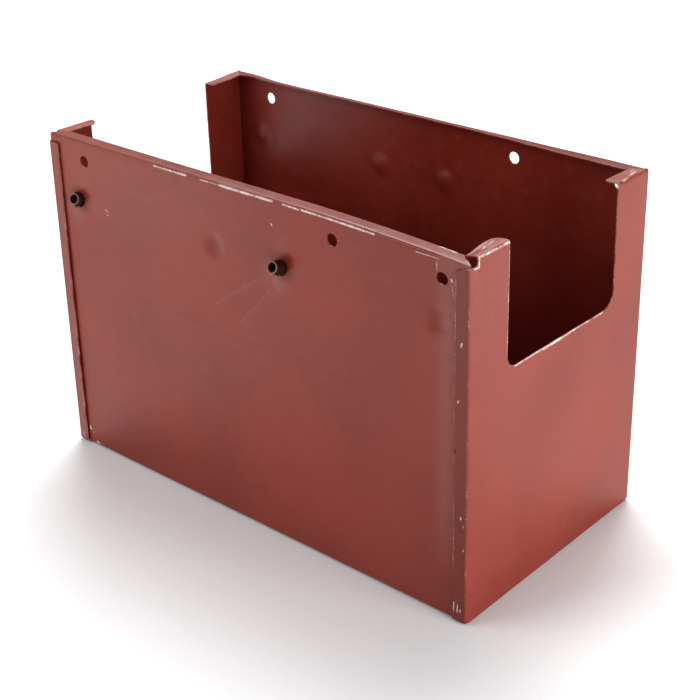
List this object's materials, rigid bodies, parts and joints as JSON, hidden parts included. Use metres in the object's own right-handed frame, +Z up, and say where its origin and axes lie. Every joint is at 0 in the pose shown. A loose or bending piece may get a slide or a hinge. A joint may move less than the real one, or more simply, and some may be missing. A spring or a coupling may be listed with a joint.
{
  "type": "newspaper vending box paper bin",
  "caption": "Open-topped folded sheet-steel bin that holds the stack of papers in a vending box, with deep hand notches in both ends, punched holes and threaded inserts in the front.",
  "frame": {"origin": "centre of the footprint, on the plane that the bin stands on", "axes": "+X along the length towards the right end panel, +Y from the front with its rivet nuts to the back, +Z up"},
  "size_m": [0.381, 0.2023, 0.254],
  "materials": {
    "sheet_paint": "semi-gloss red-brown paint, scratched and chipped along the folds",
    "rivet_nut": "painted over, dark with dirt, worn to bare metal round the open end"
  },
  "bodies": {
    "root": {"wrapper_sheet": "sheet_paint", "left_end_panel": "sheet_paint", "right_end_panel": "sheet_paint", "left_rivet_nut": "rivet_nut", "middle_rivet_nut": "rivet_nut"}
  },
  "joints": []
}
